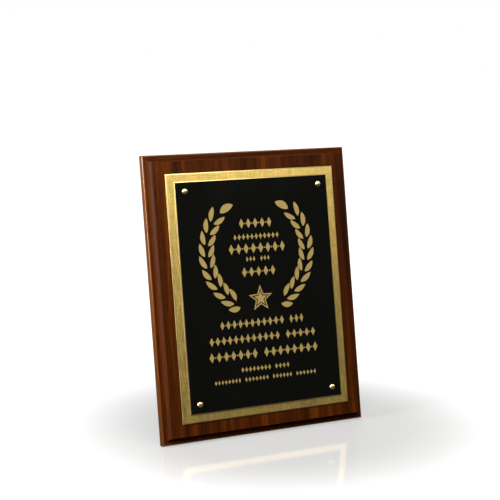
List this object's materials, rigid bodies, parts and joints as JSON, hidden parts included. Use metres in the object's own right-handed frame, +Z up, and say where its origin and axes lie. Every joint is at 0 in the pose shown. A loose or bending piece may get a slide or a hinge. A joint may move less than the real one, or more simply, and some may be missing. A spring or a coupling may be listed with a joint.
{
  "type": "wooden award plaque",
  "caption": "Rectangular lacquered wood award plaque with a coved edge, a brushed gold backing plate and a black engraved plate, on a folding easel leg.",
  "frame": {"origin": "on the table, below the middle of the standing plaque's box", "axes": "+Z up, front faces -Y and leans back 9 degrees, +X to the right when facing the front"},
  "size_m": [0.2032, 0.0648, 0.2517],
  "materials": {
    "lacquered_wood": "dark red-brown walnut with straight vertical grain under gloss lacquer",
    "stained_wood": "dark stained wood under satin lacquer",
    "brushed_gold": "gold-coloured brass sheet, brushed, with a bright bevelled edge",
    "black_brass": "satin black lacquered brass sheet, engraved through to the metal",
    "pin_brass": "polished brass",
    "plated_steel": "zinc-plated pressed steel",
    "screw_steel": "zinc-plated steel",
    "rubber_tip": "matt black rubber"
  },
  "bodies": {
    "plaque": {"board": "lacquered_wood", "backing_plate": "brushed_gold", "engraving_plate": "black_brass", "plate_pin_top_left": "pin_brass", "plate_pin_top_right": "pin_brass", "plate_pin_bottom_left": "pin_brass", "plate_pin_bottom_right": "pin_brass", "keyhole_hanger": "plated_steel", "hanger_screw_left": "screw_steel", "hanger_screw_right": "screw_steel", "hinge_board_leaf": "plated_steel", "hinge_board_screw_left": "screw_steel", "hinge_board_screw_right": "screw_steel", "hinge_pin": "plated_steel"},
    "easel_leg": {"easel_leg": "stained_wood", "hinge_leg_leaf": "plated_steel", "hinge_leg_screw_left": "screw_steel", "hinge_leg_screw_right": "screw_steel", "leg_tip": "rubber_tip"}
  },
  "joints": [
    {"name": "easel_leg_hinge", "type": "hinge", "parent": "plaque", "child": "easel_leg", "pos_m": [0, 0.00745, 0.1625], "axis": [1, 0, 0], "range_deg": [-16, 0]}
  ]
}
